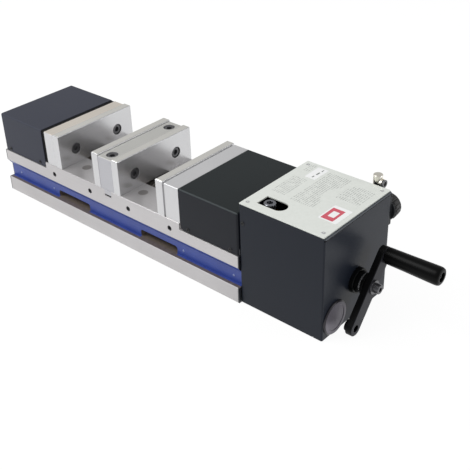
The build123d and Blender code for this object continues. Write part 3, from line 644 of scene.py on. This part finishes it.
def printed_plate():
    """Satin pale metal with faint rows of short grey strokes, which spell nothing."""
    finish = Finish("top plate anodised", Metallic=0.15, IOR=1.6)
    x = finish.axis("X")
    y = finish.axis("Y")
    mottle = finish.grain(240)
    row = finish.node("Math", {"operation": "FRACT"}, {0: x / row_pitch})
    stroke = finish.grain(520, (0.25, 1, 1), 1.0) > 0.47
    word_gap = finish.grain(16, (2.2, 0.9, 1), 1.0) < 0.32
    blocks = 0.0
    for left, right, near, far in print_blocks:
        within_x = (x > left / 1000) * (x < right / 1000)
        within_y = (y > near / 1000) * (y < far / 1000)
        blocks = within_x * within_y + blocks
    ink = (row < row_share) * stroke * blocks * (1 - word_gap)
    plain = finish.blend(mottle, colour(224, 228, 222), colour(236, 239, 234))
    printed = finish.blend(ink * ink_strength, plain, colour(128, 132, 130))
    finish.shows(Base_Color=printed, Roughness=0.34 + mottle * 0.1)
    finish.surface(mottle, 0.00001, 0.4, 0.0004)
    return finish


dress(printed_plate(), "top_plate")
plate_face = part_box("top_plate")[1].z
film_corner = 0.0008
film_bevel = 0.0002
film_sunk = 0.0001


def film_outline(x, y, shrink):
    """The corners of a rounded panel between x and y limits, drawn in by a shrink."""
    points = []
    reach_x = (x[1] - x[0]) / 2 - shrink
    reach_y = (y[1] - y[0]) / 2 - shrink
    round_by = film_corner - shrink
    for quarter, (sign_x, sign_y) in enumerate(((1, 1), (-1, 1), (-1, -1), (1, -1))):
        for part in range(5):
            angle = math.pi / 2 * (quarter + part / 4)
            points.append((
                (x[0] + x[1]) / 2 + sign_x * (reach_x - round_by) + round_by * math.cos(angle),
                (y[0] + y[1]) / 2 + sign_y * (reach_y - round_by) + round_by * math.sin(angle),
            ))
    return points


def thin_pad(mesh, x, y, height):
    """A thin rounded panel lying on the top plate."""
    levels = ((0, -film_sunk), (0, height * 0.6), (film_bevel, height))
    rings = []
    for shrink, up in levels:
        outline = film_outline(x, y, shrink)
        rings.append([mesh.verts.new((px, py, plate_face + up)) for px, py in outline])
    for lower, upper in zip(rings, rings[1:]):
        bridge(mesh, lower, upper)
    mesh.faces.new(rings[-1])


def label_film(name, ink, wear):
    """Printed film, slightly uneven in tone."""
    finish = Finish(name, IOR=1.5, Coat_Roughness=0.2)
    patches = finish.grain(180)
    finish.shows(
        Base_Color=finish.blend(patches, wear, ink),
        Roughness=0.32 + patches * 0.15,
        Coat_Weight=0.3 + patches * 0.2,
    )
    finish.surface(patches, 0.00001, 0.4, 0.0003)
    return finish


def film(name, finish, height, *panels):
    """Films of one print on the top plate, as (x, y) limits in millimetres."""
    mesh = bmesh.new()
    for x, y in panels:
        x = [value / 1000 for value in x]
        y = [value / 1000 for value in y]
        thin_pad(mesh, x, y, height)
    new_piece(name, mesh, finish, "bed_and_drive_box")


white_film = label_film("white film", colour(252, 252, 252), colour(240, 242, 242))
grey_film = label_film("grey film", colour(112, 116, 114), colour(140, 144, 142))
red_film = label_film("red film", colour(218, 88, 106), colour(200, 68, 88))
strokes = (
    ((287.4, 289.6), (37.4, 42.6)),
    ((288.0, 290.6), (46.0, 54.0)),
    ((289.0, 291.0), (57.0, 62.6)),
)
film("white_label", white_film, 0.00025, ((279.0, 295.6), (34.2, 65.4)))
film("label_strokes", grey_film, 0.0003, *strokes)
film("pad_white", white_film, 0.0002, ((353.7, 380.6), (-39.2, -2.8)))
film("pad_red", red_film, 0.0003, ((355.8, 373.9), (-37.0, -8.6)))
film("pad_middle", white_film, 0.0004, ((361.0, 370.2), (-29.2, -15.2)))


# Small countersunk screws in the top plate's corners: bright steel, sunk almost flush with the
# sheet. The head's profile is in millimetres.
sheet_screw_steel = ground_steel(
    "sheet screw steel", colour(226, 226, 228), colour(186, 186, 190), "Y",
)
head_profile = ((2.6, -0.2), (2.6, 0.08), (2.2, 0.2), (1.1, 0.2), (1.0, -0.6), (0, -0.8))
head_points = [(radius / 1000, up / 1000) for radius, up in head_profile]
corner_half = 0.0635
corner_screws = bmesh.new()
for x in (0.263, 0.380):
    for y in (-corner_half, corner_half):
        lathe(corner_screws, head_points, facing((x, y, plate_face), (0, 0, 1)), 20)
smooth(new_piece("top_plate_screws", corner_screws, sheet_screw_steel, "bed_and_drive_box"))


# The selector: a bright socket-head knob on a bronze shoe, sliding on its guide in the dark
# chamber under the slot.
selector_light = colour(150, 152, 158)
selector_dark = colour(104, 106, 112)
selector_steel = ground_steel("selector steel", selector_light, selector_dark, "X", 0.25)
dress(selector_steel, "selector_knob")
dress(oiled_steel("guide black"), "selector_guide")


# Crank: black-finished steel arm and hub on the drive shaft, with a steel ring let into the hub
# and a dull washer and bolt in the middle. The arm's front is painted grey for the light on it,
# while its sides stay black.
arm_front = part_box("crank_arm")[1].x


def black_satin():
    """Black finish on steel, streaked by the tumbling, with a painted lighter grey on the arm's
    front for the light falling there.
    """
    finish = Finish("arm black", Metallic=0.1, IOR=1.25)
    streaks = finish.grain(60, (0.3, 1, 1))
    black = finish.blend(streaks, colour(2, 2, 3), colour(6, 6, 8))
    grey = finish.blend(streaks, colour(32, 32, 38), colour(45, 45, 52))
    # The arm's front is painted grey as light on it; its sides stay black.
    front = finish.axis("X") > arm_front - face_depth
    finish.shows(Base_Color=finish.blend(front, black, grey), Roughness=0.36 + streaks * 0.14)
    finish.surface(finish.grain(500), 0.00003, 0.4, 0.0009)
    return finish


arm_black = black_satin()
dress(arm_black, "crank_arm", "crank_hub", "shaft_bush")
washer_steel = ground_steel("washer steel", colour(212, 212, 214), colour(176, 176, 180), "X", 0.2)
dress(washer_steel, "grip_washer")
ring_steel = ground_steel("ring steel", colour(160, 160, 162), colour(122, 122, 125), "X", 0.26)
dress(ring_steel, "hub_ring")
bolt_steel = ground_steel("bolt steel", colour(104, 104, 108), colour(66, 66, 70), "X", 0.3, 0.7)
dress(bolt_steel, "crank_bolt", "crank_washer", "grip_bolt")


# A blackened collar on the drive box, round the root of the turning hub. It and the grip are
# turned, each from a closed profile in millimetres: the radius, and the way along the X axis.
def turned(profile, start, steps):
    """A ring turned about the X axis from a closed profile that begins at a starting point."""
    mesh = bmesh.new()
    points = [(radius / 1000, along / 1000) for radius, along in profile]
    lathe(mesh, points, facing(start, (1, 0, 0)), steps)
    bmesh.ops.remove_doubles(mesh, verts=mesh.verts, dist=0.000001)
    return mesh


bush_low, bush_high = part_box("shaft_bush")
bush_middle = (bush_low + bush_high) / 2
collar_profile = (
    (14.6, -0.2), (17.5, -0.2), (17.5, 5.4), (16.9, 6.0), (14.9, 6.0), (14.6, 5.7), (14.6, -0.2),
)
collar = turned(collar_profile, (box_high.x, bush_middle.y, bush_middle.z), 56)
smooth(new_piece("bush_collar", collar, arm_black, "bed_and_drive_box"))


# The grip: a turned phenolic handle, glossy black, free on its bolt. It swells toward its end,
# which is rounded over and sunk for the bolt's head.
def polished_phenolic():
    """Deep gloss with the faintest swirl in it."""
    finish = Finish("grip phenolic", IOR=1.2)
    swirl = finish.grain(30, detail=4.0)
    gloss_black = finish.blend(swirl, colour(2, 2, 2), colour(5, 5, 6))
    finish.shows(Base_Color=gloss_black, Roughness=0.3 + swirl * 0.1)
    finish.surface(swirl, 0.00001, 0.3)
    return finish


grip_low, grip_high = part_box("grip")
grip_middle = (grip_low + grip_high) / 2
grip_profile = (
    (4.1, 0), (10.5, 0), (11.0, 0.5), (11.2, 14), (11.4, 28), (11.8, 46), (12.15, 62),
    (12.25, 70), (12.0, 73), (11.1, 75), (9.8, 75.8), (8.6, 76), (6.5, 76), (6.2, 75.6),
    (6.2, 69), (4.1, 69), (4.1, 0),
)
grip_mesh = turned(grip_profile, (grip_low.x, grip_middle.y, grip_middle.z), 48)
turned_grip = smooth(new_piece("turned_grip", grip_mesh, polished_phenolic(), "grip"), crisp_angle)
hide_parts("grip")


# The end plug: a turned aluminium disc, bevelled and dished, anodised to a mauve grey. Its
# bevel is painted dark as the shade in the gap round it.
plug_y = -0.047
plug_height = 0.0255
shaded_rim_from = 0.0222
turning_rings = 9000


def anodised_disc():
    """Fine turning rings on a grey-mauve disc, and a rim painted dark as shade."""
    finish = Finish("plug anodised", Metallic=0.45, IOR=1.6)
    y = finish.axis("Y") - plug_y
    z = finish.axis("Z") - plug_height
    radius = finish.node("Math", {"operation": "SQRT"}, {0: y * y + z * z})
    ring = finish.node("Math", {"operation": "SINE"}, {0: radius * turning_rings}) * 0.5 + 0.5
    tone = finish.grain(40) * 0.6 + ring * 0.4
    disc = finish.blend(tone, colour(84, 80, 90), colour(112, 108, 118))
    # The rim is painted dark as the shade in the gap round the plug.
    coat = finish.blend(radius > shaded_rim_from, disc, colour(40, 38, 44))
    finish.shows(Base_Color=coat, Roughness=0.3 + ring * 0.1)
    finish.surface(ring, 0.00002, 0.3, 0.0005)
    return finish


dress(anodised_disc(), "end_plug")


# The regulator behind the box: a dark anodised block with a fluted plastic knob. The inlet's
# push ring is moulded too, in grey.
regulator_tones = (colour(44, 46, 50), colour(30, 31, 34))
dress(texture_paint("regulator block", *regulator_tones, 0.4), "regulator_body")


def moulded_plastic(name, pale, deep):
    """Moulded plastic with a light spark texture."""
    finish = Finish(name, IOR=1.48)
    spark = finish.grain(1100, detail=1.0)
    finish.shows(Base_Color=finish.blend(spark, deep, pale), Roughness=0.38 + spark * 0.15)
    finish.surface(spark, 0.00005, 0.5, 0.0004)
    return finish


dress(moulded_plastic("knob plastic", colour(28, 28, 30), colour(14, 14, 15)), "regulator_knob")
dress(moulded_plastic("ring plastic", colour(118, 118, 120), colour(92, 92, 94)), "release_ring")


# The air inlet: a brass elbow, nickel plated, with brass showing through on its round body. It
# ends in the push ring, without a hose.
def nickel_plate():
    """Nickel with a warm cast that deepens in patches."""
    finish = Finish("nickel plate", Metallic=1.0)
    warm = finish.grain(150)
    finish.shows(
        Base_Color=finish.blend(warm, colour(244, 243, 238), colour(220, 212, 192)),
        Roughness=0.16 + warm * 0.12,
    )
    finish.surface(warm, 0.00001, 0.3, 0.0003)
    return finish


dress(nickel_plate(), "inlet_fitting")


# The floor: a pale sheet that keeps the soft shadow and shows as the photograph's white ground.
# Rays from the camera and from gloss mostly see it glow, and it is lit for all others.
floor_half = 6.0
paper_white = 1.04
glow_share = 0.9
floor_mesh = bmesh.new()
floor_corners = []
for sign_x, sign_y in ((-1, -1), (1, -1), (1, 1), (-1, 1)):
    corner = (sign_x * floor_half, sign_y * floor_half, 0)
    floor_corners.append(floor_mesh.verts.new(corner))
floor_mesh.faces.new(floor_corners)
floor_data = bpy.data.meshes.new("floor")
floor_mesh.to_mesh(floor_data)
floor_mesh.free()
floor = bpy.data.objects.new("floor", floor_data)
bpy.context.scene.collection.objects.link(floor)
floor_finish = Finish("floor white", Roughness=0.8)
floor_clouds = floor_finish.grain(3)
floor_tone = floor_finish.blend(floor_clouds, (0.86, 0.86, 0.86, 1), (0.9, 0.9, 0.9, 1))
floor_finish.shows(Base_Color=floor_tone)
camera_ray = floor_finish.node("LightPath", output="Is Camera Ray")
gloss_ray = floor_finish.node("LightPath", output="Is Glossy Ray")
seen = (camera_ray + gloss_ray) * glow_share
paper = Tone(floor_finish, floor_finish.shader.outputs[0])
glow = floor_finish.node("Emission", None, {"Color": (1, 1, 1, 1), "Strength": paper_white})
shown = floor_finish.node("MixShader", None, {0: seen, 1: paper, 2: glow})
floor_finish.feed(floor_finish.tree.nodes["Material Output"].inputs["Surface"], shown)
floor_data.materials.append(floor_finish.material)


# The light: an even white studio, a broad lamp over the left, and a lower one off the box's end.
# The studio looks as white to the camera as the floor, and lights the vise less.
sky_light = 0.55
world = bpy.data.worlds.new("studio")
world.use_nodes = True
bpy.context.scene.world = world
sky = world.node_tree.nodes["Background"]
sky.inputs["Color"].default_value = (1, 1, 1, 1)
eye = world.node_tree.nodes.new("ShaderNodeLightPath")
brightness = world.node_tree.nodes.new("ShaderNodeMath")
brightness.operation = "MULTIPLY_ADD"
brightness.inputs[1].default_value = paper_white - sky_light
brightness.inputs[2].default_value = sky_light
world.node_tree.links.new(eye.outputs["Is Camera Ray"], brightness.inputs[0])
world.node_tree.links.new(brightness.outputs[0], sky.inputs["Strength"])


def lamp(name, place, target, size, power):
    """A square soft box that looks at a point."""
    light = bpy.data.lights.new(name, "AREA")
    light.energy = power
    light.size = size
    holder = bpy.data.objects.new(name, light)
    bpy.context.scene.collection.objects.link(holder)
    holder.matrix_world = facing(place, Vector(place) - Vector(target))


lamp("over the left", (-0.7, -0.9, 1.7), (0, 0, 0.1), 1.2, 22)
lamp("off the end", (1.9, 0.9, 0.6), (0.39, 0, 0.08), 0.8, 9)


# The camera: solved from the photograph's own edges. Its place is in metres in the shared frame.
# It looks in from an azimuth and an elevation, and is rolled a little.
camera_place = (0.858763, -0.750563, 0.689846)
photo_width = 470
focal_pixels = 837.376
centre_px = (227.433, 203.026)
azimuth = math.radians(42.537)
elevation = math.radians(30.450)
roll = math.radians(-2.158)
outward = math.cos(elevation)
back = Vector((math.sin(azimuth) * outward, -math.cos(azimuth) * outward, math.sin(elevation)))
level = Vector((math.cos(azimuth), math.sin(azimuth), 0))
upright = back.cross(level)
right = level * math.cos(roll) + upright * math.sin(roll)
up = upright * math.cos(roll) - level * math.sin(roll)
lens = bpy.data.cameras.new("photo camera")
lens.sensor_width = 36.0
lens.lens = lens.sensor_width * focal_pixels / photo_width
lens.shift_x = 0.5 - centre_px[0] / photo_width
lens.shift_y = centre_px[1] / photo_width - 0.5
camera = bpy.data.objects.new("photo camera", lens)
bpy.context.scene.collection.objects.link(camera)
turn = Matrix((right, up, back)).transposed().to_4x4()
camera.matrix_world = Matrix.Translation(camera_place) @ turn
bpy.context.scene.camera = camera
bpy.context.scene.view_settings.view_transform = "Standard"
